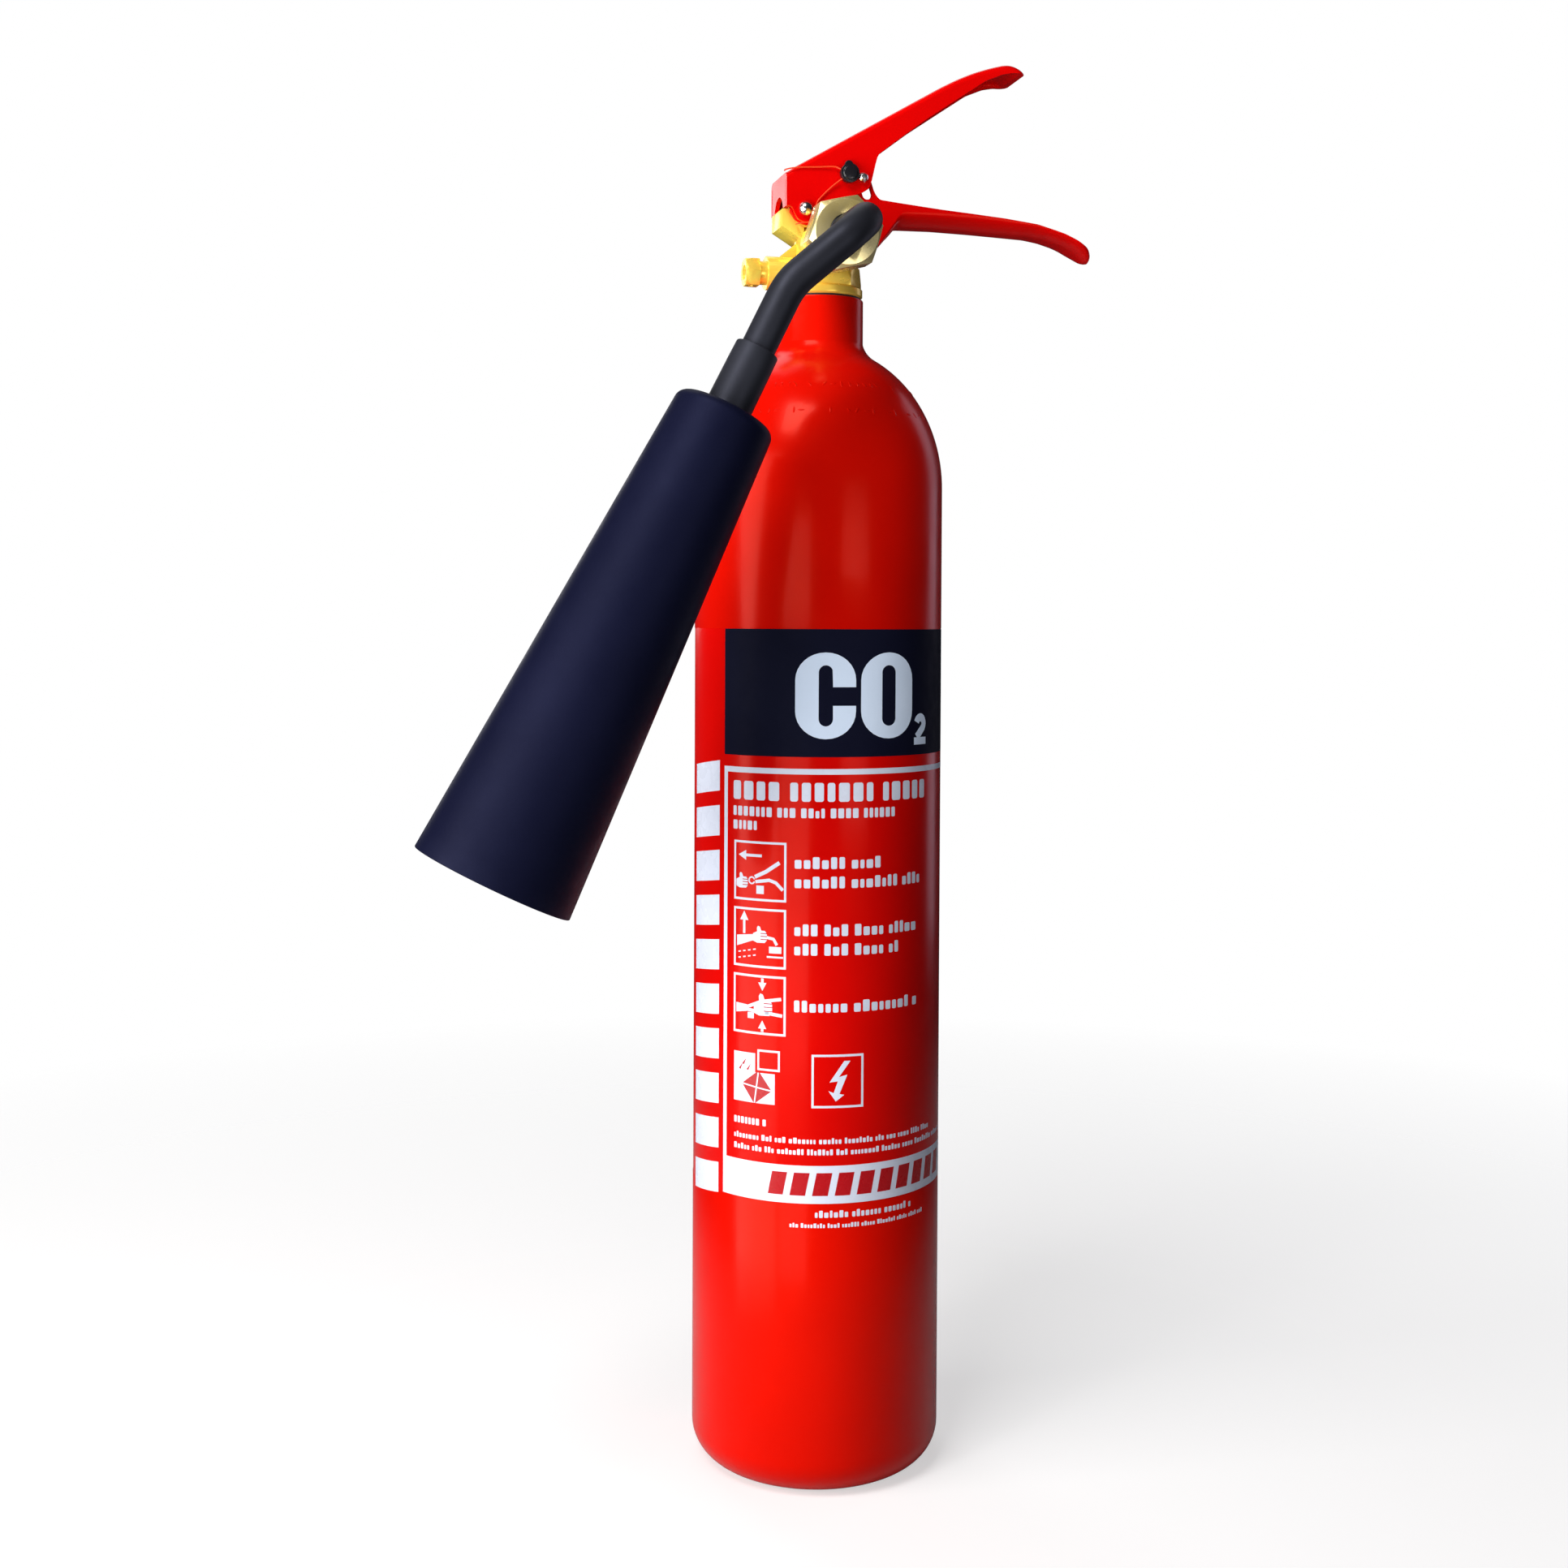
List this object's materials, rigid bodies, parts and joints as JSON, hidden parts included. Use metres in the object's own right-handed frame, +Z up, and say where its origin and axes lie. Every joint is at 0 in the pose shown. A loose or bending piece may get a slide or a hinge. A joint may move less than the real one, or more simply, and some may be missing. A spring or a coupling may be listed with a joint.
{
  "type": "fire extinguisher",
  "caption": "Portable carbon-dioxide fire extinguisher: red aluminium cylinder, brass squeeze valve with levers, and a discharge horn on a swivelling bent tube.",
  "frame": {"origin": "centre of the cylinder's foot ring, on the surface it stands on", "axes": "+Z up along the cylinder's axis, +X the way the levers point, -Y the outlet side"},
  "size_m": [0.2885, 0.1617, 0.5782],
  "materials": {
    "red_paint": "gloss red stove enamel over aluminium",
    "lever_paint": "gloss red powder coat over pressed steel",
    "label": "printed gloss film",
    "brass": "machined, lightly polished",
    "aluminium": "drawn tube",
    "spring_steel": "bright spring wire",
    "bright_steel": "bright plated",
    "zinc_steel": "yellow passivated zinc",
    "pipe_steel": "zinc plated tube",
    "sleeve_rubber": "matte black",
    "horn_plastic": "matte blue-black moulding",
    "seal_rubber": "moulded",
    "nylon": "natural",
    "nickel_foil": "rolled foil",
    "copper": "annealed copper washer",
    "black_plastic": "gloss moulding",
    "red_cord": "thin plastic line"
  },
  "bodies": {
    "cylinder": {"cylinder_shell": "red_paint", "label_film": "label", "neck_seal": "seal_rubber", "valve_body": "brass", "dip_tube": "aluminium", "spring_retainer": "brass", "return_spring": "spring_steel", "spindle_o_ring": "seal_rubber", "gland_nut": "brass", "burst_plug": "brass", "burst_disc": "nickel_foil", "burst_washer": "copper", "swivel_nut": "zinc_steel", "swivel_seal": "nylon", "carry_handle": "lever_paint", "handle_rivet": "bright_steel", "pivot_rivet": "bright_steel"},
    "lever": {"operating_lever": "lever_paint", "tamper_seal": "black_plastic", "seal_line": "red_cord"},
    "plunger": {"valve_spindle": "bright_steel", "poppet": "brass", "seat_disc": "nylon"},
    "safety_pin": {"safety_pin": "bright_steel"},
    "pull_ring": {"pull_ring": "bright_steel"},
    "horn_assembly": {"swivel_tail": "bright_steel", "horn_tube": "pipe_steel", "tube_sleeve": "sleeve_rubber", "horn_collar": "sleeve_rubber", "horn": "horn_plastic", "diffuser": "brass", "horn_locknut": "brass"}
  },
  "joints": [
    {"name": "lever_squeeze", "type": "hinge", "parent": "cylinder", "child": "lever", "pos_m": [-0.0094, 0, 0.5131], "axis": [0, 1, 0], "range_deg": [0, 14], "stiffness_Nm_per_rad": 3, "springref_deg": -6.88},
    {"name": "spindle_slide", "type": "slide", "parent": "cylinder", "child": "plunger", "axis": [0, 0, -1], "range_m": [0, 0.0046], "deforming": ["return_spring"]},
    {"name": "pin_pull", "type": "slide", "parent": "lever", "child": "safety_pin", "axis": [0, 1, 0], "range_m": [0, 0.045]},
    {"name": "ring_swing", "type": "hinge", "parent": "safety_pin", "child": "pull_ring", "pos_m": [0.0145, 0.02, 0.527], "axis": [1, 0, 0], "range_deg": [-15, 110]},
    {"name": "horn_swivel", "type": "hinge", "parent": "cylinder", "child": "horn_assembly", "pos_m": [0, -0.036, 0.499], "axis": [0, 1, 0], "range_deg": [-24, 120]}
  ],
  "couplings": [
    {"joint": "spindle_slide", "follows": "lever_squeeze", "m_per_rad": 0.0186}
  ]
}
